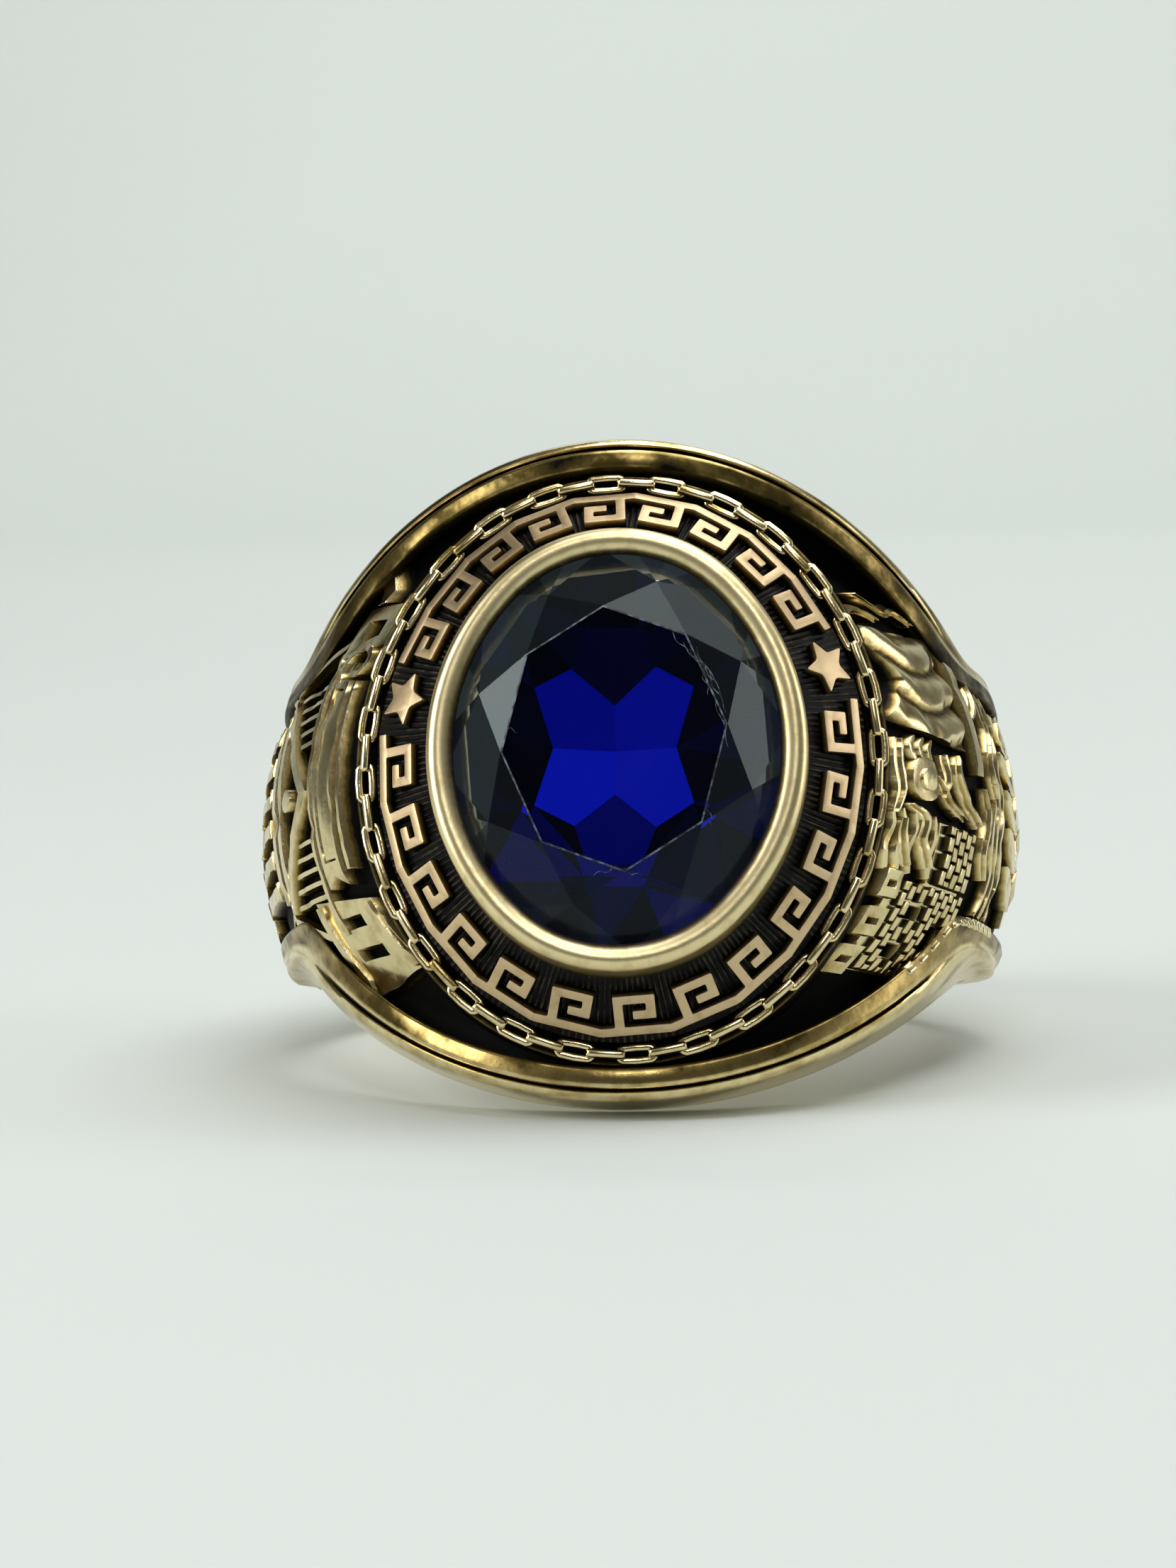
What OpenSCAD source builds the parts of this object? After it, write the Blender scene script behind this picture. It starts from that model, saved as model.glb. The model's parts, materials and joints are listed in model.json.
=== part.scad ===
// Class ring: one cast gold ring with a raised head, set with a faceted oval stone.
// It is drawn with the finger's axis along Y and the stone facing +Z, and is then
// laid on its side as it rests by itself: on the head's end and on the back of the band.

/* [Finger hole and band] */
// Radius of the finger hole
bore_r = 10.1; // [10:0.05:10.2]
// Radius of the outside at the middle of each side
side_r = 12; // [11.9:0.05:12.1]
// Radius of the band's rounded section
crown_r = 9.75; // [9.25:0.25:10.25]
// Half width of the band at its sides
side_half_w = 4.5; // [4.4:0.05:4.6]
// Half width of the band at its back
back_half_w = 3.3; // [3.1:0.1:3.5]

/* [Head and rails] */
// Half length of the head along the finger
head_half_l = 9.8; // [9.75:0.05:9.9]
// Radius of the head's curved ends, seen from above
end_r = 12.3; // [12.1:0.1:12.5]
// Radius of the rails' curve over the finger
rail_curve_r = 11; // [10.95:0.05:11.05]
// Height of that curve's centre above the finger's axis
rail_curve_z = 1.4; // [1.35:0.05:1.45]
// Width of the rails
rail_w = 1; // [0.9:0.05:1.05]
// Depth of the dark ground beside the rails
ground_depth = 0.9; // [0.8:0.05:1]
// Height of the side panels' relief above their dark ground
relief_h = 0.55; // [0.4:0.05:0.6]

/* [Stone] */
// Length of the stone along the finger
stone_l = 12; // [11.9:0.05:12.1]
// Width of the stone
stone_w = 10; // [9.9:0.05:10.1]
// Height of the stone's girdle above the finger's axis
girdle_z = 14.2; // [14.1:0.05:14.3]
// Height of the crown, from girdle to table
crown_h = 1.8; // [1.5:0.1:2]
// Depth of the pavilion, from girdle to culet
pavilion_h = 3.6; // [3.4:0.1:3.7]
// Share of the stone's width that the table takes
table_share = 0.64; // [0.58:0.01:0.68]

/* [Ornament] */
// Number of link pairs in the chain border
chain_pairs = 28; // [20:1:30]
// Number of fret units over the stone
frets_over = 9; // [6:1:10]
// Number of fret units under the stone
frets_under = 13; // [8:1:14]
// Height of the fret and the stars above the sloping field
fret_h = 0.3; // [0.2:0.05:0.35]

/* [Hidden] */
$fn = 96;
e = 0.01;
function to_micron(v) = round(1000 * v) / 1000;

// The oval that every ring round the stone follows is made of four arcs: two side
// arcs and two end arcs that meet them in line. Each ring is this oval, set off.
end_arc_r = 4.3;
half_w = stone_w / 2;
half_l = stone_l / 2;
end_arc_y = half_l - end_arc_r;
side_arc_r = (half_w * half_w + end_arc_y * end_arc_y - end_arc_r * end_arc_r)
    / (2 * (half_w - end_arc_r));
side_arc_x = side_arc_r - half_w;
join_a = atan2(end_arc_y, side_arc_x);

// Offsets from the stone's outline, and heights above the finger's axis
bezel_out = 0.45;
bezel_in = -0.2;
bezel_z = 14.95;
field_in_z = 13.6;
field_out = 2.1;
field_out_z = 12.2;
chain_out = 2.75;
chain_bed_z = 11.95;
link_h = 0.4;
head_base_z = 7.5;

// The side panels rise in a pointed arch from the finger's axis to the head
arch_x = to_micron((pow(half_w + chain_out, 2) + pow(chain_bed_z, 2) - pow(side_r, 2))
    / (2 * (side_r - half_w - chain_out)));
arch_r = side_r + arch_x;
arch_a = asin(chain_bed_z / arch_r) + 3;
panel_bottom_z = -4;
taper_z = 9;
knee_z = 0.4;
rail_foot_z = 0.8;

// The ring rests on the lower edge of the head's end and on the back's edge
back_edge_r = side_r - crown_r + sqrt(crown_r * crown_r - back_half_w * back_half_w);
rest_tilt = atan((head_half_l - back_half_w) / (bore_r + back_edge_r));
rest_lift = head_half_l * cos(rest_tilt) - bore_r * sin(rest_tilt);

// The origin is on the floor below the middle of the ring as it lies
front_reach = (girdle_z + crown_h) * cos(rest_tilt) + table_share * half_l * sin(rest_tilt);
back_reach = back_edge_r * cos(rest_tilt) + back_half_w * sin(rest_tilt);

// Laid on its side
module at_rest() {
    translate([0, (front_reach - back_reach) / 2, rest_lift]) rotate([90 - rest_tilt, 0, 0])
        children();
}

// Turned so that its Z axis runs along the finger
module about_finger() {
    rotate([-90, 0, 0]) children();
}

// Seen from the side: the drawing's X is the ring's Y, its Y the ring's Z
module side_prism(x0, x1) {
    translate([x0, 0, 0]) rotate([90, 0, 90]) linear_extrude(x1 - x0) children();
}

// The point of the oval, set off, at which its outward normal has a direction
function oval_point(a, off) =
    let (on_end = abs(sin(a)) > sin(join_a), r = (on_end ? end_arc_r : side_arc_r) + off)
    [r * cos(a) - (on_end ? 0 : sign(cos(a)) * side_arc_x),
     r * sin(a) + (on_end ? sign(sin(a)) * end_arc_y : 0)];

// A closed solid through rings of the oval, given as rows of offset and height
oval_steps = 72;
module oval_loft(rows) {
    n = oval_steps;
    m = len(rows);
    points = [for (row = rows, i = [0:n - 1])
        concat(oval_point(360 * (i + 0.5) / n, row[0]), [row[1]])];
    sides = [for (j = [0:m - 2], i = [0:n - 1])
        [j * n + i, (j + 1) * n + i, (j + 1) * n + (i + 1) % n, j * n + (i + 1) % n]];
    polyhedron(points, concat(sides,
        [[for (i = [0:n - 1]) i], [for (i = [n - 1:-1:0]) (m - 1) * n + i]]));
}

// Length of a quarter of the oval, set off, and of its side arc's part
function side_part(off) = (side_arc_r + off) * join_a * PI / 180;
function quarter(off) = side_part(off) + (end_arc_r + off) * (90 - join_a) * PI / 180;

// Direction of the normal at a share of the way round, 0 to 4 quarters
function quarter_normal(s, off) = s < side_part(off)
    ? s / (side_arc_r + off) * 180 / PI
    : join_a + (s - side_part(off)) / (end_arc_r + off) * 180 / PI;
function normal_at(q, off) =
    let (i = floor(q), f = q - i, l = quarter(off))
    i % 2 == 0
        ? 90 * i + quarter_normal(f * l, off)
        : 90 * (i + 1) - quarter_normal((1 - f) * l, off);

// Puts its children on the oval where the normal has a direction, their X outwards
module on_oval(a, off) {
    translate(concat(oval_point(a, off), [0])) rotate(a) children();
}

// Outside of the band and the side panels, sunk by a depth. Its rounded section is drawn
// in flats that touch the round, so that every face is a plain cylinder or cone.
function crown_at(y, crest, sunk) =
    crest + to_micron(sqrt(pow(crown_r - sunk, 2) - y * y) - crown_r);
module rounded_section(crest, sunk) {
    polygon(concat([[crest - 5, -7]],
        [for (y = [-7:2:7]) [crown_at(y, crest, sunk), y]], [[crest - 5, 7]]));
}
module panel_form(sunk) {
    about_finger() {
        rotate_extrude(angle = 180) rounded_section(side_r, sunk);
        for (m = [0, 1]) mirror([m, 0, 0]) translate([-arch_x, 0, 0]) mirror([0, 1, 0])
            rotate_extrude(angle = arch_a) rounded_section(arch_r, sunk);
    }
}

// The drum that carries the rails over the finger, sunk by a depth
module rail_drum(sunk) {
    intersection() {
        translate([0, 0, rail_curve_z]) rotate([90, 0, 0])
            cylinder(h = 4 * head_half_l, r = rail_curve_r - sunk, center = true);
        translate([-side_r, -head_half_l, rail_foot_z])
            cube([2 * side_r, 2 * head_half_l, 2 * side_r]);
    }
}

// The ring's outline from above and from the side, narrowed by a width
module outline_prism(narrow) {
    linear_extrude(bezel_z) intersection_for (s = [-1, 1])
        translate([0, s * (end_r - head_half_l)]) circle(end_r - narrow);
    side_prism(-side_r - 1, side_r + 1) for (m = [0, 1]) mirror([m, 0]) polygon([
        [0, -side_r - 1], [back_half_w - narrow, -side_r - 1], [back_half_w - narrow, -taper_z],
        [side_half_w - narrow, knee_z], [side_half_w - narrow, chain_bed_z], [0, chain_bed_z]]);
}

// Everything between the rails
module between_rails() {
    intersection() {
        outline_prism(rail_w);
        translate([-2 * side_r, -2 * head_half_l, panel_bottom_z])
            cube([4 * side_r, 4 * head_half_l, 30]);
    }
}

// Band, shoulders and the rails that edge them, with the dark ground cut between them
module band_and_rails() {
    difference() {
        intersection() {
            union() {
                panel_form(0);
                rail_drum(0);
            }
            outline_prism(0);
        }
        difference() {
            between_rails();
            panel_form(relief_h);
            rail_drum(ground_depth);
        }
    }
}

// Head wall, chain bed, sloping field and bezel, and inside it the stone's seat
hollow_r = 6;
hollow_z = 8;
module head() {
    oval_loft([
        [chain_out, head_base_z], [chain_out, chain_bed_z],
        [field_out, chain_bed_z], [field_out, field_out_z],
        [bezel_out, field_in_z], [bezel_out, bezel_z - 0.25], [bezel_out - 0.2, bezel_z],
        [bezel_in + 0.1, bezel_z], [bezel_in, bezel_z - 0.1], [bezel_in, girdle_z + 0.35],
        [0.08, girdle_z + 0.15], [0.08, girdle_z - 0.15], [-0.1, girdle_z - 0.2],
        [-3.9, girdle_z - pavilion_h - 0.1]]);
}

// One open link of the chain border, lying on its bed
link_l = 0.95 * 4 * quarter(2.4) / chain_pairs / 2;
link_w = 0.62;
wire = 0.17;
module open_link() {
    linear_extrude(link_h) difference() {
        square([link_w, link_l], center = true);
        square([link_w - 2 * wire, link_l - 2 * wire], center = true);
    }
}

// The next link seen edge on
module edge_link() {
    linear_extrude(link_h) square([1.5 * wire, link_l * 0.9], center = true);
}
module chain_border() {
    mid = (field_out + chain_out) / 2;
    translate([0, 0, chain_bed_z - e]) for (i = [0:chain_pairs - 1]) {
        on_oval(normal_at(4 * (i + 0.25) / chain_pairs, mid), mid) open_link();
        on_oval(normal_at(4 * (i + 0.75) / chain_pairs, mid), mid) edge_link();
    }
}

// One unit of the running key: X outwards from the stone, Y along the field. A base stroke along
// the outer edge meets its neighbours' base strokes, and a square hook stands on it.
fret_w = 1.3;
stroke = 0.27;
module fret_unit(half) {
    a = fret_w / 2;
    s = stroke;
    w = 0.6;
    polygon([
        [a, -half], [a, half], [a - s, half], [a - s, s - w], [s - a, s - w], [s - a, w - s],
        [0.12, w - s], [0.12, w], [-a, w], [-a, -w], [a - s, -w], [a - s, -half]]);
}
module star(r) {
    polygon([for (i = [0:9]) let (d = i % 2 == 0 ? r : 0.42 * r, t = 36 * i)
        [d * cos(t), d * sin(t)]]);
}

// Direction of the normal at each star, and the fret's run between them
star_r = 0.72;
star_a = [19, 167];
fret_mid = 1.3;
function way_round(a) = let (t = (a % 360 + 360) % 360)
    [for (q = [0:0.005:4]) if (normal_at(q, fret_mid) >= t) q][0];
star_q = [for (a = star_a) way_round(a)];
field_slope = atan((field_in_z - field_out_z) / (field_out - bezel_out));
module on_field(a) {
    on_oval(a, fret_mid) translate([0, 0, (field_in_z + field_out_z) / 2])
        rotate([0, field_slope, 0]) translate([0, 0, -0.2]) linear_extrude(fret_h + 0.2)
        children();
}
module fret_run(q0, q1, n) {
    gap = (star_r + 0.35) / quarter(fret_mid);
    half = (q1 - q0 - 2 * gap) / n * quarter(fret_mid) / 2;
    for (i = [0:n - 1]) {
        q = q0 + gap + (q1 - q0 - 2 * gap) * (i + 0.5) / n;
        on_field(normal_at(q - 4 * floor(q / 4), fret_mid)) fret_unit(half);
    }
}
module field_ornament() {
    fret_run(star_q[0], star_q[1], frets_over);
    fret_run(star_q[1], star_q[0] + 4, frets_under);
    for (a = star_a) on_field(a) rotate(180) star(star_r);
}

// Motifs of the side panels, drawn from the side: X along the finger, Y upwards
module bar(y0, z0, y1, z1, w) {
    translate([y0, z0]) rotate(atan2(z1 - z0, y1 - y0)) translate([0, -w / 2])
        square([norm([y1 - y0, z1 - z0]), w]);
}
module leaf(l, w) {
    d = (l * l / w - w) / 4;
    intersection() {
        translate([l / 2, d]) circle(d + w / 2);
        translate([l / 2, -d]) circle(d + w / 2);
    }
}

// Blank ribbon with a cut end, along the top of the left panel
module ribbon() {
    polygon([[-3.1, 9.9], [-2.6, 10.5], [-3.1, 11.1], [3.2, 11.2], [3.5, 10], [3, 9.9]]);
}

// Columned front: steps, columns, lintel and gable
hall_half_w = 3.3;
module columned_front() {
    for (i = [0:2]) translate([-hall_half_w + 0.35 * i, 0.4 + 0.55 * i])
        square([2 * (hall_half_w - 0.35 * i), 0.38]);
    for (i = [0:5]) translate([-2.4 + 0.96 * i - 0.2, 1.8]) square([0.4, 3.6]);
    translate([-2.9, 5.7]) square([5.8, 0.4]);
    difference() {
        polygon([[-3.3, 6.4], [3.3, 6.4], [0, 9.3]]);
        polygon([[-2.2, 6.8], [2.2, 6.8], [0, 8.7]]);
    }
    translate([0, 7.4]) circle(0.35);
}

// Small gate with two slots
module gate() {
    difference() {
        polygon([[-6.3, 8.6], [-3.3, 8.2], [-3.6, 11], [-5.6, 11.3]]);
        translate([-4.3, 9]) square([0.35, 1.3]);
        translate([-5.2, 9.1]) square([0.35, 1.3]);
    }
}
module open_frame() {
    difference() {
        polygon([[3.9, 9.3], [5.5, 9], [5.2, 11.2], [3.9, 11.4]]);
        polygon([[4.3, 9.8], [5, 9.6], [4.8, 10.7], [4.3, 10.8]]);
    }
}

// Crenellated tower
module tower() {
    difference() {
        union() {
            translate([-5.7, 7.2]) square([2.6, 3.4]);
            for (i = [0:2]) translate([-5.9 + 1.1 * i, 10.4]) square([0.8, 0.9]);
        }
        for (i = [0:1]) translate([-5.2 + 1.1 * i, 8.9]) square([0.4, 0.9]);
        translate([-4.7, 7.1]) square([0.6, 1.1]);
    }
    translate([-3.2, 7.2]) square([2, 1.9]);
}

// Banner below a staff
module banner() {
    bar(0.6, 7.1, 5.5, 7.5, 0.4);
    polygon([[1.2, 7.8], [4.6, 7.9], [4.3, 11.3], [2.8, 10.5], [1.4, 11.5]]);
}
module laurel_spray() {
    bar(-3.2, 2.2, 3.2, 3.4, 0.25);
    for (i = [0:4], s = [-1, 1]) translate([-2.7 + 1.15 * i, 2.3 + 0.21 * i])
        rotate(11 + 42 * s) leaf(1.9, 0.75);
}
module left_art() {
    ribbon();
    columned_front();
    gate();
    open_frame();
}
module right_art() {
    tower();
    banner();
    laurel_spray();
    translate([-0.1, 10.2]) circle(0.65);
}
module side_relief() {
    intersection() {
        panel_form(0.03);
        union() {
            side_prism(5, side_r + 1) right_art();
            side_prism(-side_r - 1, -5) left_art();
        }
        outline_prism(0);
    }
}

module ring_casting() {
    color("goldenrod") at_rest() difference() {
        union() {
            difference() {
                band_and_rails();
                translate([0, 0, hollow_z]) cylinder(h = side_r, r = hollow_r);
            }
            head();
            chain_border();
            field_ornament();
            side_relief();
        }
        about_finger() cylinder(h = 4 * head_half_l, r = bore_r, center = true);
    }
}

// Oval brilliant: table, eight star facets, eight kites, girdle facets and pavilion
module stone() {
    kites = 8;
    ring = function (n, share, z, turn) [for (i = [0:n - 1]) let (t = 360 * (i + turn) / n)
        [half_w * share * cos(t), half_l * share * sin(t), z]];
    mid_share = 0.81;
    mid_z = crown_h * (1 - mid_share * cos(180 / kites)) / (1 - table_share);
    low_share = 0.3;
    low_z = -pavilion_h * (1 - low_share * cos(180 / kites));
    girdle_t = 0.12;
    points = concat(
        ring(kites, table_share, crown_h, 0),
        ring(kites, mid_share, mid_z, 0.5),
        ring(4 * kites, 1, girdle_t / 2, 0),
        ring(4 * kites, 1, -girdle_t / 2, 0),
        ring(kites, low_share, low_z, 0.5),
        [[0, 0, -pavilion_h]]);
    color("mediumblue") at_rest() translate([0, 0, girdle_z]) hull()
        polyhedron(points, [[for (i = [0:len(points) - 1]) i]]);
}

ring_casting();
stone();
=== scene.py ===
# %% [markdown]
# # A cast class ring, dressed
# The CAD model gives the ring its true size and its main forms. This file puts a finer skin on it:
# rounded rails, a real chain, a fret with soft edges, a cut stone and a worn, blackened finish.
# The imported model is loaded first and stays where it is.

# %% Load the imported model
import json
import bmesh
import bpy
from math import atan2, ceil, copysign, cos, hypot, pi, radians, sin, sqrt
from mathutils import Matrix, Vector, noise
from mathutils.bvhtree import BVHTree


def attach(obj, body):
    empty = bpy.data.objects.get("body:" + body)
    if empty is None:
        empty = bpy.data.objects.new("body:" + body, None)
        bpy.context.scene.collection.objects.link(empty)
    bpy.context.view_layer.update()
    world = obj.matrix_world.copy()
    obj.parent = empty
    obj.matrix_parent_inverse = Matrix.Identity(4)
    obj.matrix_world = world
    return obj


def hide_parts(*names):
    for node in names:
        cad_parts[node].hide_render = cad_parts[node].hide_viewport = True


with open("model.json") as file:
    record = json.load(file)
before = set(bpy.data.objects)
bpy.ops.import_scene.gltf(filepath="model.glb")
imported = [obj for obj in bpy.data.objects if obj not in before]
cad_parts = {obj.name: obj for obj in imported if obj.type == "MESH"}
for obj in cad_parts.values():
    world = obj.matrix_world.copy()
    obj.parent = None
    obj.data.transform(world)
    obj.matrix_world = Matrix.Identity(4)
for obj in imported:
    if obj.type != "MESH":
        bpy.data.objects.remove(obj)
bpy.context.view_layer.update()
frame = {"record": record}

# %% [markdown]
# The ring lies tilted on its side, which is awkward to draw in. So every piece is drawn in the
# ring's own frame, in millimetres: X across the hand, Y along the finger, Z out through the stone.
# The finger hole is a mount of the model, and its place and axis give the one matrix that lays a
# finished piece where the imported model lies.

# %% From the ring's own frame to the model's
MM = 0.001
hole = next(m for m in frame["record"]["mounts"] if m["name"] == "finger_hole")
finger_axis = Vector(hole["axis"]).normalized()
across = Vector((1, 0, 0))
TURN = Matrix((across, finger_axis, across.cross(finger_axis))).transposed()
LAID = Matrix.Translation(hole["pos_m"]) @ TURN.to_4x4() @ Matrix.Scale(MM, 4)
print("the stone faces", tuple(round(v, 3) for v in TURN.col[2]))

# %% [markdown]
# Colours are written as the hex values that a paint program shows and turned to the linear
# numbers that Blender mixes with. One helper adds a shader node with its settings and inputs.

# %% Colour and node helpers
def linear(hex_colour):
    parts = [int(hex_colour[i:i + 2], 16) / 255 for i in (1, 3, 5)]
    return tuple(c / 12.92 if c <= 0.04045 else ((c + 0.055) / 1.055) ** 2.4 for c in parts) + (1,)


def set_inputs(node, values):
    """Links an input to a socket, or writes a plain value into it."""
    for key, value in values.items():
        if isinstance(value, bpy.types.NodeSocket):
            node.id_data.links.new(value, node.inputs[key])
        else:
            node.inputs[key].default_value = value


def add_node(material, kind, inputs=None, **settings):
    made = material.node_tree.nodes.new(kind)
    for key, value in settings.items():
        setattr(made, key, value)
    set_inputs(made, inputs or {})
    return made


def maths(material, operation, *values):
    return add_node(material, "ShaderNodeMath", dict(enumerate(values)), operation=operation).outputs[0]


def carried(material, name):
    """The number that each vertex or face carries under a name."""
    return add_node(material, "ShaderNodeAttribute", attribute_name=name).outputs["Fac"]


def new_material(name, **values):
    material = bpy.data.materials.new(name)
    material.use_nodes = True
    shader = material.node_tree.nodes["Principled BSDF"]
    set_inputs(shader, {key.replace("_", " "): value for key, value in values.items()})
    return material, shader


# %% [markdown]
# ## The metal
# The ring is 10-karat gold, lost-wax cast, blackened all over and polished, which takes the black
# off whatever stands proud. Each vertex carries one number for this, 0 on the sunk ground and 1 on
# what the polishing wheel reaches, and one recipe turns it to colour, metal and roughness. On the
# rails' tops and the bezel's inner side the number is also lowered as painted shade, for darker
# reflections there. A little noise on it makes the border between black and gold uneven.

# %% Cast gold with blackened recesses
def wear_noise(material, grain_mm, stretch=(1, 1, 1), detail=3):
    place = add_node(material, "ShaderNodeTexCoord").outputs["Object"]
    turned = add_node(material, "ShaderNodeMapping", {
        "Vector": place, "Scale": [s / (grain_mm * MM) for s in stretch]})
    return add_node(material, "ShaderNodeTexNoise", {
        "Vector": turned.outputs["Vector"], "Scale": 1, "Detail": detail, "Roughness": 0.6}).outputs["Fac"]


def ramp(material, factor, stops):
    made = add_node(material, "ShaderNodeValToRGB", {"Fac": factor})
    points = made.color_ramp.elements
    while len(points) < len(stops):
        points.new(0.5)
    for point, (place, colour) in zip(points, stops):
        point.position = place
        point.color = linear(colour) if isinstance(colour, str) else (colour, colour, colour, 1)
    return made.outputs["Color"]


def cast_gold(name, top_roughness, middle, top):
    """Blackened gold: black where the lift is low, bare metal where it is high."""
    metal, shader = new_material(name, Specular_IOR_Level=0.05)
    uneven = maths(metal, "MULTIPLY_ADD", wear_noise(metal, 0.5), 0.36, -0.18)
    rubbed = maths(metal, "ADD", carried(metal, "polish_and_painted_shade"), uneven)
    shade = ramp(metal, rubbed, [(0.0, "#030302"), (0.45, "#080704"), (0.64, "#4A3E1C"),
                                 (0.82, middle), (1.0, top)])
    bare = ramp(metal, rubbed, [(0.0, 0.0), (0.45, 0.1), (0.72, 1.0)])
    dull = ramp(metal, rubbed, [(0.0, 0.6), (0.5, 0.45), (0.8, top_roughness + 0.06), (1.0, top_roughness)])
    hairlines = wear_noise(metal, 0.12, stretch=(1, 0.25, 1), detail=5)
    relief = add_node(metal, "ShaderNodeBump", {
        "Height": hairlines, "Strength": 0.12, "Distance": 0.02 * MM})
    relief = add_node(metal, "ShaderNodeBump", {
        "Height": wear_noise(metal, 0.9, detail=4), "Strength": 0.25, "Distance": 0.05 * MM,
        "Normal": relief.outputs["Normal"]})
    set_inputs(shader, {"Base Color": shade, "Metallic": bare, "Roughness": dull,
                        "Normal": relief.outputs["Normal"]})
    return metal


# The rails are polished, the bezel's shine is softened by fine scratches, and the fret and the
# stars are rubbed dull by wear. The fret and the stars are also given darker colours than the rest
# of the gold, a painted shade on their rubbed tops.
gold = cast_gold("cast_10_karat_gold_blackened", 0.2, "#AC955C", "#E6D5A4")
soft_gold = cast_gold("scratched_10_karat_gold_blackened", 0.33, "#AC955C", "#E6D5A4")
# The third metal's darker colours are painted shade, and its higher roughness is the wear.
worn_gold_painted_darker = cast_gold("worn_10_karat_gold_blackened_painted_darker", 0.4, "#9C8058", "#CDB58E")
print("metals:", gold.name, soft_gold.name, worn_gold_painted_darker.name)

# %% [markdown]
# A piece is drawn as a bmesh in millimetres, whose vertices carry the lift. Handing it over smooths
# its faces but keeps edges sharper than a set angle crisp, lays it in place and fixes it to the body.

# %% Hand a piece over
def start_piece():
    bm = bmesh.new()
    bm.verts.layers.float.new("polish_and_painted_shade")
    return bm


def closed_pairs(items):
    return list(zip(items, items[1:] + items[:1]))


def only(kind, made):
    """The vertices, edges or faces among what an operator made."""
    return [g for g in made["geom"] if isinstance(g, kind)]


def spin(bm, geom, axis, steps):
    bmesh.ops.spin(bm, geom=geom, cent=(0, 0, 0), axis=axis, angle=2 * pi, steps=steps,
                   use_merge=True)


def bevel(bm, edges, offset, segments=3, clamp=False):
    return bmesh.ops.bevel(bm, geom=edges, offset=offset, offset_type="OFFSET", affect="EDGES",
                           segments=segments, profile=0.5, material=-1, clamp_overlap=clamp)


def make_object(name, bm, *materials):
    """Turns a bmesh into an object of the scene, at the origin and unturned."""
    mesh = bpy.data.meshes.new(name)
    bm.to_mesh(mesh)
    bm.free()
    for material in materials:
        mesh.materials.append(material)
    made = bpy.data.objects.new(name, mesh)
    bpy.context.scene.collection.objects.link(made)
    return made


def hand_over(name, bm, *materials, stands_for="ring_casting", crisp=40, solid=True):
    """Finishes a piece, whose edges of more than crisp degrees stay sharp, and fixes it in place."""
    if solid:
        bmesh.ops.recalc_face_normals(bm, faces=bm.faces)
    limit = radians(crisp)
    for face in bm.faces:
        face.smooth = True
    for edge in bm.edges:
        edge.smooth = len(edge.link_faces) == 2 and edge.calc_face_angle(0) < limit
    bm.transform(LAID)
    piece = make_object(name, bm, *materials)
    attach(piece, "root")
    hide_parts(stands_for)
    print(f"{name}: {len(piece.data.polygons)} faces")


# %% [markdown]
# ## The curves that everything follows
# The band is round, its sides swell to a pointed arch that carries the head, and two rails run
# over the finger on a lower, wider round. From above, the rails follow two crossing circles. These
# are the CAD model's own radii, so both models agree.

# %% The band's curves
BORE_R = 10.1
SIDE_R, CROWN_R = 11.95, 9.75
ARCH_X, ARCH_R = 6.925, 18.875
RAIL_R, RAIL_Z = 11.0, 1.4
UNDER_HEAD_Z = 11.4
END_R, HEAD_L = 12.3, 9.8
# How deep the ground lies between the rails, and below the rails' own round
PANEL_DEPTH, RAIL_DEPTH = 0.55, 0.9


def soft_max(a, b, reach):
    near = max(reach - abs(a - b), 0)
    return max(a, b) + near * near / (4 * reach)


def crown_drop(y, sunk):
    return CROWN_R - sqrt(max((CROWN_R - sunk) ** 2 - y * y, 1))


def side_reach(turn, y, sunk):
    """How far out the band's round or arch lies, in a direction seen along the finger."""
    if sin(turn) < 0:
        return SIDE_R - crown_drop(y, sunk)
    r = ARCH_R - crown_drop(y, sunk)
    arch = sqrt(r * r - (ARCH_X * sin(turn)) ** 2) - ARCH_X * abs(cos(turn))
    return min(arch, UNDER_HEAD_Z / max(sin(turn), 0.01))


def rail_reach(turn, sunk):
    r = RAIL_R - sunk
    return RAIL_Z * sin(turn) + sqrt(r * r - (RAIL_Z * cos(turn)) ** 2)


def outer_reach(turn, y, sunk_side=0, sunk_rail=0):
    return soft_max(side_reach(turn, y, sunk_side), rail_reach(turn, sunk_rail), 0.3)


def half_width(x, z, narrow):
    plan = sqrt(max((END_R - narrow) ** 2 - x * x, 0)) - (END_R - HEAD_L) if z > 0 else 0
    back = 3.3 + 1.2 * min(max((z + 9) / 9.4, 0), 1) - narrow
    return soft_max(plan, back, 0.5)


print("half width at the head and the back:", half_width(0, 12, 0), half_width(0, -12, 0))

# %% [markdown]
# ## Band and rails
# Band, shoulders and rails are one casting, with the ground between the rails sunk and black. The
# section could be swept along a path, but the ring's width and thickness change all the way round.
# So it is spun into a plain ring first, in which a point's radius and side distance are only codes,
# and then each vertex is moved to where the ring's own curves put it. The groove along each rail
# is part of the section. Polishing along the rails left some streaks duller, so noise drawn out
# that way lowers their lift here and there.

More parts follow.
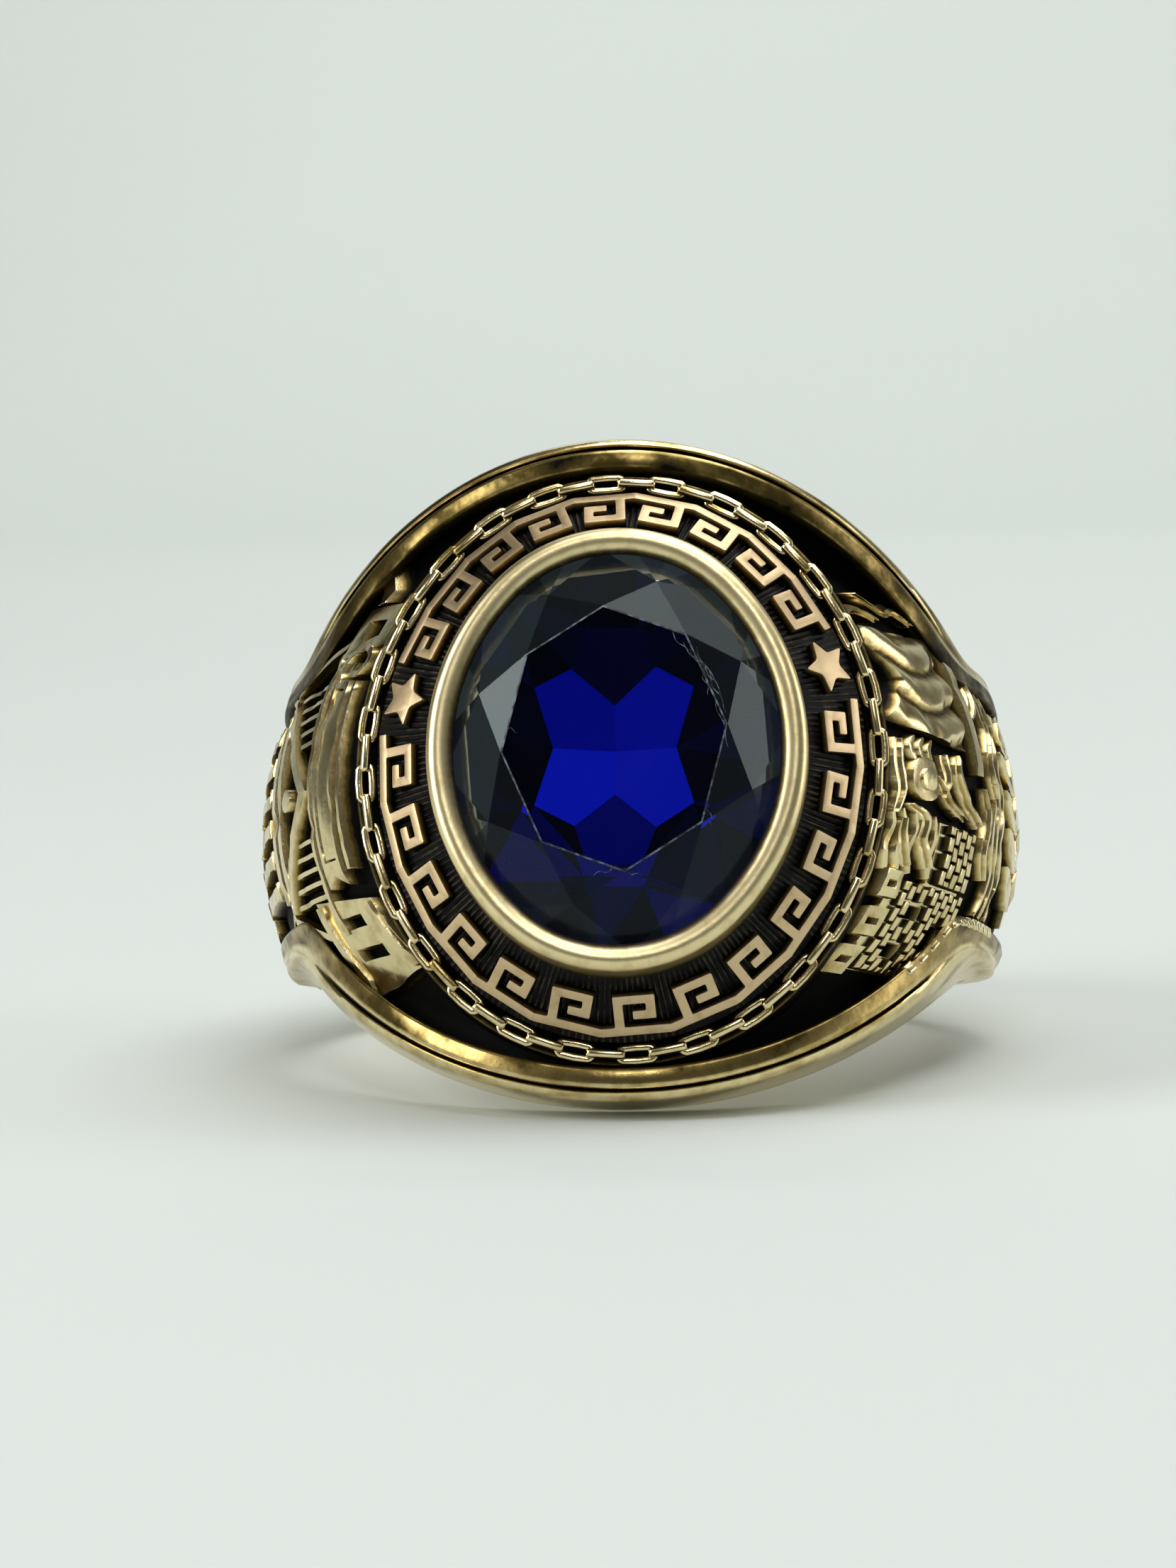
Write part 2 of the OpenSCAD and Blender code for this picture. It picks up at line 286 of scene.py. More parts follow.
# %% Band and rails
# Section from the middle of the ground over a rail to the middle of the bore: side code, depth code.
# Side codes 0 to 4 lie between the rails and 4 to 5 on a rail, 1 mm wide. Depth codes are
# millimetres down to the rail's lip, and the bore has code 2.
LIP_DEPTH = 0.54
GROUND = [(0.0, 1.0), (0.8, 1.0), (1.6, 1.0), (2.4, 1.0), (3.1, 1.0), (3.6, 1.0), (3.96, 1.0)]
RAIL = [(4.0, 0.9), (4.02, 0.4), (4.04, 0.18), (4.07, 0.07), (4.12, 0.02), (4.2, 0.0), (4.5, 0.0),
        (4.6, 0.03), (4.64, 0.08), (4.665, 0.17), (4.69, 0.23), (4.715, 0.17), (4.74, 0.1), (4.79, 0.06),
        (4.9, 0.09), (4.97, 0.2), (4.99, 0.36), (5.0, LIP_DEPTH)]
WALL = [(5.0, 1.2), (5.0, 1.6), (5.0, 1.85), (4.94, 1.97), (4.82, 2.0)]
BORE = [(3.0, 2.0), (1.5, 2.0), (0.0, 2.0)]
half = GROUND + RAIL + WALL + BORE
section = half + [(-s, d) for s, d in reversed(half[1:-1])]
AROUND = 264
PLAIN_R = 20
# Heights between which the ground sinks below the rails, and where along X each groove runs out
SINK_FROM, SINK_TO = -4.3, -3.2
GROOVE_END, GROOVE_FADE = 9.6, 1.4


def fade(value, start, end):
    t = min(max((value - start) / (end - start), 0), 1)
    return t * t * (3 - 2 * t)


def shape_band(co):
    """Moves a point of the plain spun ring to its place on the real band, and gives its lift."""
    turn = atan2(co.z, co.x)
    depth, code = PLAIN_R - hypot(co.x, co.z), co.y
    full_depth = depth
    side, across_code = (1 if code >= 0 else -1), abs(code)
    y = side * 4
    for _ in range(3):
        level = outer_reach(turn, y)
        x, z = level * cos(turn), level * sin(turn)
        raised = fade(z, SINK_FROM, SINK_TO)
        edge_kept = 0.55 + 0.45 * raised
        grooved = raised * fade(GROOVE_END - abs(x), 0, GROOVE_FADE)
        if 4.62 < across_code < 4.77:
            depth = 0.06 + (full_depth - 0.06) * grooved
        if depth <= LIP_DEPTH:
            r = level - depth * (raised if across_code < 4.6 else edge_kept)
        elif depth <= 1.0:
            low = outer_reach(turn, y, PANEL_DEPTH, RAIL_DEPTH)
            r = level + (low - level) * raised * (1 if depth == 1.0 else 0.88)
        else:
            share = (2.0 - depth) / (2.0 - LIP_DEPTH)
            r = BORE_R + (level - LIP_DEPTH * edge_kept - BORE_R) * share
        x, z = r * cos(turn), r * sin(turn)
        inner, outer = half_width(x, z, 1.0), half_width(x, z, 0.0)
        if across_code <= 4:
            y = side * inner * across_code / 4
        else:
            y = side * (inner + (outer - inner) * (across_code - 4))
    polish_and_painted_shade = 1.0
    if full_depth > 1.1:
        polish_and_painted_shade = 1.05
    elif depth <= 1.0 and across_code <= 4.0:
        polish_and_painted_shade = 1 - raised * (1.0 if depth > 0.95 else 0.8)
    elif across_code < 4.1:
        polish_and_painted_shade = 1 - 0.45 * raised
    elif 4.65 < across_code < 4.73:
        polish_and_painted_shade = 1 - 0.6 * grooved
    # The inner part of each rail's top is set darker, one side more than the other: a painted reflection of
    # darker surroundings on polished gold, not wear.
    elif 4.1 < across_code < 4.55:
        polish_and_painted_shade = 0.7 if side > 0 else 0.8
    if across_code > 4.1 and full_depth < 1.1:
        streak = noise.noise(Vector((8 * turn, 9 * across_code, 5 * side)))
        polish_and_painted_shade -= (0.42 if side > 0 else 0.3) * raised * max(streak + 0.15, 0)
    return Vector((x, y, z)), polish_and_painted_shade


bm = start_piece()
ring_verts = [bm.verts.new((PLAIN_R - d, s, 0)) for s, d in section]
loop = [bm.edges.new(pair) for pair in closed_pairs(ring_verts)]
spin(bm, ring_verts + loop, (0, 1, 0), AROUND)
layer = bm.verts.layers.float["polish_and_painted_shade"]
for v in bm.verts:
    v.co, v[layer] = shape_band(v.co)
hand_over("band_and_rails", bm, gold, crisp=50)

# %% [markdown]
# The inner edge of one rail is notched: a row of low blocks that the graver left between its cuts.
# Each is a little block with rounded edges, set where the band's own curves put that edge.

# %% Beaded edge
def round_block(bm, width, length, height, place):
    """A block with rounded edges and ends, centred on its place, its long way along Y."""
    made = bmesh.ops.create_cube(bm, size=1, matrix=Matrix.Diagonal((width, length, height, 1)))
    edges = list({e for v in made["verts"] for e in v.link_edges})
    done = bevel(bm, edges, min(width, height) * 0.42)
    bmesh.ops.transform(bm, matrix=place, verts=done["verts"])
    return done["verts"]


# The blocks' number, the first one's direction and the step in degrees, and their side code
BLOCKS, BLOCKS_FROM, BLOCK_STEP, EDGE_CODE = 11, 22, 2.4, -4.17
bm = start_piece()
for i in range(BLOCKS):
    turn = radians(BLOCKS_FROM + BLOCK_STEP * i)
    here, ahead, below = (shape_band(Vector((r * cos(t), EDGE_CODE, r * sin(t))))[0]
                          for t, r in ((turn, PLAIN_R - 0.05), (turn + 0.01, PLAIN_R - 0.05),
                                       (turn, PLAIN_R - 0.7)))
    run = (ahead - here).normalized()
    up = (here - below).normalized()
    place = Matrix((up.cross(run), run, up)).transposed().to_4x4()
    round_block(bm, 0.34, 0.42, 0.15, Matrix.Translation(here) @ place)
for v in bm.verts:
    v[bm.verts.layers.float["polish_and_painted_shade"]] = 1.0
hand_over("beaded_edge", bm, gold, crisp=80)

# %% [markdown]
# ## The oval that the head follows
# Bezel, field and chain all follow the stone's oval, set off by more and more. It is made of four
# arcs, two for the sides and two for the ends, so that an offset is only a change of radius.

# %% The oval
HALF_W, HALF_L, END_ARC = 5.0, 6.0, 4.3
END_Y = HALF_L - END_ARC
SIDE_ARC = (HALF_W ** 2 + END_Y ** 2 - END_ARC ** 2) / (2 * (HALF_W - END_ARC))
SIDE_X = SIDE_ARC - HALF_W
JOIN = atan2(END_Y, SIDE_X)


def oval_point(normal, off):
    """The point of the oval, set off, whose outward normal has a direction."""
    c, s = cos(normal), sin(normal)
    if abs(s) > sin(JOIN):
        return Vector(((END_ARC + off) * c, (END_ARC + off) * s + copysign(END_Y, s), 0))
    return Vector(((SIDE_ARC + off) * c - copysign(SIDE_X, c), (SIDE_ARC + off) * s, 0))


def quarter_length(off):
    return (SIDE_ARC + off) * JOIN + (END_ARC + off) * (pi / 2 - JOIN)


def normal_at(quarters, off):
    """The normal's direction at a share of the way round, counted in quarters."""
    i, f = divmod(quarters, 1)
    run = (f if i % 2 == 0 else 1 - f) * quarter_length(off)
    side_run = (SIDE_ARC + off) * JOIN
    turn = run / (SIDE_ARC + off) if run < side_run else JOIN + (run - side_run) / (END_ARC + off)
    return pi / 2 * i + turn if i % 2 == 0 else pi / 2 * (i + 1) - turn


print("length round the stone's edge:", round(4 * quarter_length(0), 2), "mm")

# %% [markdown]
# ## Head wall, chain bed, field and bezel
# Each is a strip of the same casting round the oval. A short outline of side distance and height
# is spun about the stone's axis, as on a potter's wheel, and each vertex is then moved on to the
# oval. The wall's foot follows the finger hole, so that it stays inside the metal.

# %% Strips round the oval
OVAL_STEPS = 288
SPIN_R = 30


def turn_on_oval(outline):
    """Spins an outline of offset, height and lift about the stone's axis, then sets it on the oval."""
    bm = start_piece()
    layer = bm.verts.layers.float["polish_and_painted_shade"]
    rows = [bm.verts.new((SPIN_R + off, 0, z)) for off, z, _ in outline]
    for v, (_, _, polish_and_painted_shade) in zip(rows, outline):
        v[layer] = polish_and_painted_shade
    edges = [bm.edges.new(pair) for pair in zip(rows, rows[1:])]
    spin(bm, rows + edges, (0, 0, 1), OVAL_STEPS)
    uv = bm.loops.layers.uv.new("along")
    for face in bm.faces:
        angles = [atan2(loop.vert.co.y, loop.vert.co.x) % (2 * pi) for loop in face.loops]
        wrap = max(angles) - min(angles) > pi
        for loop, angle in zip(face.loops, angles):
            share = (angle + (2 * pi if wrap and angle < pi else 0)) / (2 * pi)
            loop[uv].uv = (share, loop.vert.co.xy.length - SPIN_R)
    for v in bm.verts:
        quarters = atan2(v.co.y, v.co.x) / (pi / 2) % 4
        off = v.co.xy.length - SPIN_R
        place = oval_point(normal_at(quarters, 2.0), off)
        v.co = Vector((place.x, place.y, v.co.z))
    bmesh.ops.recalc_face_normals(bm, faces=bm.faces)
    return bm


wall = [(2.75, 8.6, 0.0), (2.75, 11.6, 0.0), (2.75, 11.86, 0.3), (2.71, 11.93, 0.75),
        (2.62, 11.95, 0.5), (2.5, 11.9, 0.0), (2.3, 11.88, 0.0), (2.16, 11.9, 0.0),
        (2.12, 12.0, 0.1), (2.08, 12.2, 0.3)]
bm = turn_on_oval(wall)
for v in bm.verts:
    v.co.z = max(v.co.z, sqrt(max((BORE_R + 0.4) ** 2 - v.co.x ** 2, 0)))
hand_over("head_wall_and_chain_bed", bm, gold, solid=False)

# %% [markdown]
# The sloping field is blackened like the rest of the ground, but fine ribs run up it towards the
# stone, about 0.18 mm apart. Modelled ribs would need a thousand strips, so they are a bump that
# counts along the field: the unwrapped strip's first coordinate goes once round the oval. The
# ribs' crests are rubbed a little barer, and in places they are worn away.

# %% Ribbed field
FIELD_IN, FIELD_OUT, FIELD_IN_Z, FIELD_OUT_Z = 0.45, 2.1, 13.6, 12.2
FIELD_MID, RIB_PITCH = 1.3, 0.18
ribbed, shader = new_material("blackened_gold_ribbed", Roughness=0.42, Specular_IOR_Level=0.12)
strip = add_node(ribbed, "ShaderNodeUVMap", uv_map="along").outputs["UV"]
round_share = add_node(ribbed, "ShaderNodeSeparateXYZ", {"Vector": strip}).outputs["X"]
rib_count = round(4 * quarter_length(FIELD_MID) / RIB_PITCH)
ribs = maths(ribbed, "SINE", maths(ribbed, "MULTIPLY", round_share, 2 * pi * rib_count))
shown = maths(ribbed, "MULTIPLY", ribs, wear_noise(ribbed, 2.5))
bump = add_node(ribbed, "ShaderNodeBump", {"Height": shown, "Strength": 0.7, "Distance": 0.04 * MM})
bared = maths(ribbed, "MULTIPLY_ADD", shown, 0.4, wear_noise(ribbed, 0.5, detail=5))
soot = ramp(ribbed, bared, [(0.4, "#030302"), (0.62, "#0C0A08"), (0.85, "#443D31")])
set_inputs(shader, {"Base Color": soot, "Normal": bump.outputs["Normal"]})
slope_rows = [(FIELD_OUT + (FIELD_IN - FIELD_OUT) * k / 6,
               FIELD_OUT_Z + (FIELD_IN_Z - FIELD_OUT_Z) * k / 6, 0.0) for k in range(7)]
hand_over("ribbed_field", turn_on_oval(slope_rows), ribbed, solid=False)
print("ribs round the field:", rib_count)

# %% [markdown]
# The bezel is the thin wall that holds the stone. On a cast ring its rim is filed to a half round
# and its inner side is pressed down on the stone. Rubbing has polished the top of it, and black
# stays in the crevice at the stone. Over the inner half of the rim the metal is also set darker as
# painted shade, for the dark stone that this side reflects. The half round is drawn as an arc in
# the outline.

# %% Bezel
RIM_R, RIM_LIP, RIM_OFF, RIM_Z = 0.325, 0.46, 0.125, 14.62
# Darker towards the stone over the inner half of the rim: painted shade.
rim = [(RIM_OFF + (RIM_R if a < 90 else RIM_LIP) * cos(radians(a)),
        RIM_Z + RIM_R * sin(radians(a)), 1 - 0.4 * fade(a, 120, 170)) for a in range(0, 181, 12)]
bezel = [(0.47, 13.55, 0.45), (0.45, 13.8, 0.85), (0.45, 14.3, 1.0)] + rim + [
    (-0.3, 14.5, 0.5), (-0.2, 14.4, 0.2), (0.02, 14.25, 0.0)]
hand_over("bezel", turn_on_oval(bezel), soft_gold, solid=False)

# %% [markdown]
# ## Chain border
# The border is cast in the shape of a cable chain: links seen face on take turns with links seen
# edge on. A face-on link is a wire bent to a stadium, made as a small spun ring with its halves
# pulled apart and its top rubbed flat. An edge-on link is a short bar with round ends, a little
# higher. Each has few faces, because there are 28 pairs.

# %% Chain border
CHAIN_PAIRS, CHAIN_OFF, CHAIN_Z = 28, 2.44, 12.1
PITCH = 4 * quarter_length(CHAIN_OFF) / CHAIN_PAIRS
WIRE_R, BEND_R = 0.13, 0.2
LINK_TOP = 0.6 * WIRE_R


def on_oval(quarters, off, z):
    """Where a small part goes on the oval: its X points outwards, its Y along the oval."""
    turn = normal_at(quarters % 4, off)
    return Matrix.Translation(oval_point(turn, off) + Vector((0, 0, z))) @ Matrix.Rotation(turn, 4, "Z")


def wire_link(bm, straight, place):
    """A round wire bent to a stadium that lies flat, its long way along Y, its top rubbed flat."""
    upright = Matrix.Translation((BEND_R, 0, 0)) @ Matrix.Rotation(pi / 2, 4, "X")
    made = bmesh.ops.create_circle(bm, segments=8, radius=WIRE_R, matrix=upright)
    geom = made["verts"] + list({e for v in made["verts"] for e in v.link_edges})
    before = set(bm.verts)
    spin(bm, geom, (0, 0, 1), 16)
    verts = made["verts"] + [v for v in bm.verts if v not in before]
    for v in verts:
        v.co.y += copysign(straight / 2, v.co.y) if abs(v.co.y) > 1e-4 else 0
        v.co.z = min(v.co.z, LINK_TOP)
    bmesh.ops.transform(bm, matrix=place, verts=verts)
    return verts


bm = start_piece()
layer = bm.verts.layers.float["polish_and_painted_shade"]
for k in range(CHAIN_PAIRS):
    face_on = on_oval(4 * (k + 0.25) / CHAIN_PAIRS, CHAIN_OFF, CHAIN_Z)
    edge_on = on_oval(4 * (k + 0.75) / CHAIN_PAIRS, CHAIN_OFF, CHAIN_Z + 0.07)
    link = wire_link(bm, PITCH * 0.72 - 2 * (WIRE_R + BEND_R), face_on)
    for v in link:
        height = (face_on.inverted() @ v.co).z / LINK_TOP
        v[layer] = 0.8 + 0.2 * height if height > 0 else 0.3
    block = round_block(bm, 0.28, PITCH * 0.64, 0.36, edge_on)
    for v in block:
        v[layer] = 1.0 if v.co.z > CHAIN_Z + 0.08 else 0.35
    for v in link + block:
        v[layer] -= 0.35 * max(noise.noise(v.co * 1.3), 0)
hand_over("chain_border", bm, gold, crisp=80)

# %% [markdown]
# ## Raised ornament
# Stars, fret and the motifs of the side panels are raised shapes with a flat, rubbed top and black
# flanks. Each starts as a flat outline, which is filled, pulled up, and bevelled along its top
# edges, because a cast edge is never sharp. The flanks get a low lift and the tops a high one.

# %% Raise an outline
def raise_outline(bm, outline, height, foot=0.1, soft=0.05, holes=(), cut=None, place=Matrix()):
    """A raised shape from an outline in X and Y: foot below zero, top at the height."""
    fresh = start_piece()
    for ring in [outline] + list(holes):
        for pair in closed_pairs([fresh.verts.new((x, y, 0)) for x, y in ring]):
            fresh.edges.new(pair)
    bmesh.ops.triangle_fill(fresh, use_beauty=True, use_dissolve=False, edges=fresh.edges[:])
    if cut:
        for axis in (0, 1):
            places = [v.co[axis] for v in fresh.verts]
            for k in range(ceil(min(places) / cut), int(max(places) // cut) + 1):
                at, way = Vector((0, 0, 0)), Vector((0, 0, 0))
                at[axis], way[axis] = k * cut + 0.0137, 1
                bmesh.ops.bisect_plane(fresh, geom=fresh.verts[:] + fresh.edges[:] + fresh.faces[:],
                                       plane_co=at, plane_no=way, dist=1e-5)
    bmesh.ops.recalc_face_normals(fresh, faces=fresh.faces)
    if fresh.faces[0].normal.z < 0:
        bmesh.ops.reverse_faces(fresh, faces=fresh.faces)
    base = fresh.faces[:]
    tops = only(bmesh.types.BMFace, bmesh.ops.extrude_face_region(fresh, geom=base))
    bmesh.ops.reverse_faces(fresh, faces=base)
    for v in {v for f in tops for v in f.verts}:
        v.co.z = height
    for v in {v for f in base for v in f.verts}:
        v.co.z = -foot
    top_set = set(tops)
    rim = [e for f in tops for e in f.edges if any(g not in top_set for g in e.link_faces)]
    bevel(fresh, rim, soft, clamp=True)
    layer = fresh.verts.layers.float["polish_and_painted_shade"]
    for v in fresh.verts:
        round_off = (height - v.co.z) / soft
        v[layer] = 1.0 - 0.4 * round_off ** 2 if round_off < 1.01 else 0.0
    fresh.transform(place)
    carry = bpy.data.meshes.new("carry")
    fresh.to_mesh(carry)
    fresh.free()
    bm.from_mesh(carry)
    bpy.data.meshes.remove(carry)


# %% [markdown]
# The two stars sit in the field left and right of the stone, one point towards it. They are fat,
# with tips worn round, so the outline's corners are rounded before it is raised.

# %% Stars
FIELD_SLOPE = atan2(FIELD_IN_Z - FIELD_OUT_Z, FIELD_OUT - FIELD_IN)


def on_field(turn):
    """A place on the sloping field: X down the slope, Y along it, Z out of it."""
    middle = oval_point(turn, FIELD_MID) + Vector((0, 0, (FIELD_IN_Z + FIELD_OUT_Z) / 2))
    return (Matrix.Translation(middle) @ Matrix.Rotation(turn, 4, "Z")
            @ Matrix.Rotation(FIELD_SLOPE, 4, "Y"))


def rounded(corners, radius):
    """The outline with each corner cut back by the radius and rounded with four points."""
    points = []
    count = len(corners)
    for i, (x, y) in enumerate(corners):
        here = Vector((x, y))
        before, after = Vector(corners[i - 1]) - here, Vector(corners[(i + 1) % count]) - here
        cut = min(radius, 0.45 * before.length, 0.45 * after.length)
        a, b = here + before.normalized() * cut, here + after.normalized() * cut
        for t in (0, 0.33, 0.67, 1):
            points.append(tuple((1 - t) ** 2 * a + 2 * t * (1 - t) * here + t * t * b))
    return points


STAR_TURNS = [radians(19), radians(167)]
STAR_TIP, STAR_NOTCH = 0.85, 0.41
star = []
for i in range(10):
    r, way = (STAR_NOTCH if i % 2 else STAR_TIP), pi + i * pi / 5
    star.append((r * cos(way), r * sin(way)))
bm = start_piece()
for turn in STAR_TURNS:
    raise_outline(bm, rounded(star, 0.1), 0.28, soft=0.07, place=on_field(turn))
hand_over("stars", bm, worn_gold_painted_darker)

# %% [markdown]
# A running key, an old border that suits any ring, fills the rest of the field. A base stroke runs
# along the outer edge, and in each unit a square hook stands on it and turns in on itself. Nine
# units pass over the stone and thirteen under it, and the base strokes of neighbours overlap a
# little, so that the key reads as one line between the stars.

# %% Fret
FRET_W, STROKE, HOOK, HOOK_END = 1.3, 0.27, 0.6, 0.06
# Length along the field kept free on either side of a star's middle
STAR_ROOM = 1.07


def key_unit(half):
    """One unit: X outwards from the stone, Y along the field, its base stroke twice half long."""
    a, s, w = FRET_W / 2, STROKE, HOOK
    return [(a, -half), (a, half), (a - s, half), (a - s, s - w), (s - a, s - w), (s - a, w - s),
            (-s / 2, w - s), (-s / 2, -HOOK_END), (s / 2, -HOOK_END), (s / 2, w), (-a, w), (-a, -w),
            (a - s, -w), (a - s, -half)]


def way_round(turn):
    """How far round, in quarters, the oval's normal has turned to a direction."""
    return min((q / 400 for q in range(1600)),
               key=lambda q: abs(normal_at(q, FIELD_MID) - turn % (2 * pi)))


bm = start_piece()
star_q = [way_round(t) for t in STAR_TURNS]
gap = STAR_ROOM / quarter_length(FIELD_MID)
for start, end, count in ((star_q[0], star_q[1], 9), (star_q[1], star_q[0] + 4, 13)):
    step = (end - start - 2 * gap) / count
    half = 0.5 * step * quarter_length(FIELD_MID + 0.5) + 0.05
    for i in range(count):
        raise_outline(bm, rounded(key_unit(half), 0.05), 0.27, soft=0.06,
                      place=on_field(normal_at((start + gap + step * (i + 0.5)) % 4, FIELD_MID)))
hand_over("fret", bm, worn_gold_painted_darker)

# %% [markdown]
# ## Motifs of the side panels
# Each panel is drawn from the side, in Y along the finger and Z upwards, and then bent on to the
# panel, whose own curve says how far out a point lies. So that a long bar bends with it, its
# outline is cut at even steps. A shape may also swell: its top then rises and falls by a function
# of the place, as in a draped cloth. No cast top is quite flat, so noise lowers them all a little
# in soft dents, where rubbing reaches less and the gold stays darker.

# %% Bend a drawing on to a panel
DENT_GRAIN, DENT_DEPTH = 1.3, 0.14


def panel_x(y, z, rise):
    """How far out the sunk ground lies at a place of the side view, raised by a height."""
    r = (ARCH_R if z >= 0 else SIDE_R) - crown_drop(y, PANEL_DEPTH - rise)
    side = sqrt(max(r * r - z * z, 0)) - (ARCH_X if z >= 0 else 0)
    r = RAIL_R - RAIL_DEPTH + rise
    return max(side, sqrt(max(r * r - (z - RAIL_Z) ** 2, 0)))


def panel_relief(name, side, shapes, cut=0.45, soft=0.08, swell=None):
    """Raises shapes on the panel on one side. A shape is an outline, its top's height and any holes."""
    bm = start_piece()
    for outline, top, *holes in shapes:
        raise_outline(bm, outline, top, foot=0.08, soft=min(soft, 0.4 * top), holes=holes, cut=cut)
    layer = bm.verts.layers.float["polish_and_painted_shade"]
    for v in bm.verts:
        y, z, rise = v.co
        if rise > 0.1:
            dent = max(noise.noise(Vector((DENT_GRAIN * y, DENT_GRAIN * z, 7 * side))), 0)
            rise -= DENT_DEPTH * dent
            v[layer] -= 0.3 * dent * v[layer]
        if swell and rise > 0.1:
            change = swell(y, z)
            rise += change
            v[layer] = min(v[layer], 1 + 4 * min(change, 0))
        v.co = Vector((side * panel_x(y, z, rise), y, z))
    hand_over(name, bm, gold)


def bar(y0, z0, y1, z1, w):
    """A straight bar from one point to another, w wide."""
    along = Vector((y1 - y0, z1 - z0)).normalized() * 0.5 * w
    out = Vector((-along.y, along.x))
    a, b = Vector((y0, z0)), Vector((y1, z1))
    return [tuple(a - out), tuple(b - out), tuple(b + out), tuple(a + out)]


def box(y, z, w, h):
    return [(y, z), (y + w, z), (y + w, z + h), (y, z + h)]


def disc(y, z, r, count=20):
    return [(y + r * cos(2 * pi * i / count), z + r * sin(2 * pi * i / count))
            for i in range(count)]


def leaf(y, z, length, width, turn):
    """A pointed leaf from its stem's end, turned, from two shallow arcs."""
    points = [(length * k / 6, -0.5 * width * sin(pi * k / 6) ** 0.8) for k in range(7)]
    points += [(p, -q) for p, q in reversed(points[1:-1])]
    c, s = cos(radians(turn)), sin(radians(turn))
    return [(y + c * p - s * q, z + s * p + c * q) for p, q in points]


def sweep(points, width, tip=0.4, steps=6):
    """The outline of a curved stroke, fullest near its middle, its tips a share of its width."""
    path = []
    ends = [points[0]] + points + [points[-1]]
    for a, b, c, d in zip(ends, ends[1:], ends[2:], ends[3:]):
        a, b, c, d = (Vector(p) for p in (a, b, c, d))
        for k in range(steps):
            t = k / steps
            path.append(0.5 * (2 * b + (c - a) * t + (2 * a - 5 * b + 4 * c - d) * t * t
                               + (3 * b - a - 3 * c + d) * t ** 3))
    path.append(Vector(points[-1]))
    left, right = [], []
    for i, here in enumerate(path):
        way = (path[min(i + 1, len(path) - 1)] - path[max(i - 1, 0)]).normalized()
        t = i / (len(path) - 1)
        w = 0.5 * width * (tip + (1 - tip) * sin(pi * (0.2 + 0.8 * t)) ** 0.8)
        left.append(tuple(here + w * Vector((-way.y, way.x))))
        right.append(tuple(here - w * Vector((-way.y, way.x))))
    return left + right[::-1]


def bricks(y, z, w, h, long, high, joint, keep=lambda y, z: True):
    """Courses of bricks that fill a box, each course set off by half a brick."""
    made, row = [], 0
    while z + (row + 1) * high <= h + z + 0.01:
        start = y - (row % 2) * long / 2
        while start < y + w - 0.05:
            a, b = max(start, y), min(start + long - joint, y + w)
            if b - a > 0.12 and keep((a + b) / 2, z + (row + 0.5) * high):
                made.append((box(a, z + row * high, b - a, high - joint), 0.53))
            start += long
        row += 1
    return made


# %% [markdown]
# The left panel has a columned front with three steps, a gable and a roundel. Above it a blank
# ribbon with a curled end and a rolled edge lies between a small gate and an open frame, with
# fillets and struts that tie them to the rails.

# %% Left panel
steps = [(box(-3.3 + 0.35 * i, 0.4 + 0.55 * i, 6.6 - 0.7 * i, 0.38), 0.5) for i in range(3)]
columns = [(box(-2.6 + 0.96 * i, 1.8, 0.4, 3.6), 0.5) for i in range(6)]
feet = [(box(-2.68 + 0.96 * i, z, 0.56, 0.16), 0.53) for i in range(6) for z in (1.75, 5.3)]
lintel = (box(-2.9, 5.7, 5.8, 0.4), 0.5)
gable = ([(-3.3, 6.4), (3.3, 6.4), (0, 9.0)], 0.5, [(-2.3, 6.75), (2.3, 6.75), (0, 8.5)])
roundel = (disc(0, 7.4, 0.35), 0.5)
panel_relief("columned_front", -1, steps + columns + feet + [lintel, gable, roundel])

ribbon = [(-3.1, 9.5), (-2.75, 9.95), (-3.1, 10.4), (3.0, 10.5), (3.25, 9.5)]
sunk_line = [(-2.35, 9.64), (2.95, 9.64), (2.8, 10.34), (-2.35, 10.28)]
blank = [(-2.27, 9.71), (2.86, 9.71), (2.73, 10.27), (-2.27, 10.21)]
panel_relief("ribbon", -1, [(ribbon, 0.5, sunk_line), (blank, 0.46)], cut=0.3, soft=0.04)

curl = [(3.1, 9.75), (3.75, 9.8), (4.05, 10.4), (3.7, 10.95), (3.2, 10.75), (3.25, 10.35), (3.55, 10.4)]
rolled_edge = [(-2.7, 10.75), (0, 10.85), (2.9, 10.83)]
panel_relief("ribbon_curl", -1, [(sweep(curl, 0.2, 0.7), 0.52), (sweep(rolled_edge, 0.13, 0.8), 0.5)],
             cut=0.3, soft=0.1)

gate_front = [(-6.3, 8.6), (-3.3, 8.2), (-3.6, 11), (-5.6, 11.3)]
panel_relief("gate", -1, [(gate_front, 0.45, box(-4.3, 9, 0.35, 1.3), box(-5.2, 9.1, 0.35, 1.3)),
                          (bar(-6.2, 8.75, -3.45, 8.4, 0.3), 0.55),
                          (bar(-5.6, 11.1, -3.7, 10.85, 0.28), 0.55)], cut=0.3)
panel_relief("open_frame", -1, [([(3.9, 9.3), (5.5, 9), (5.2, 11.2), (3.9, 11.4)], 0.5,
                                 [(4.3, 9.8), (5, 9.6), (4.8, 10.7), (4.3, 10.8)])])

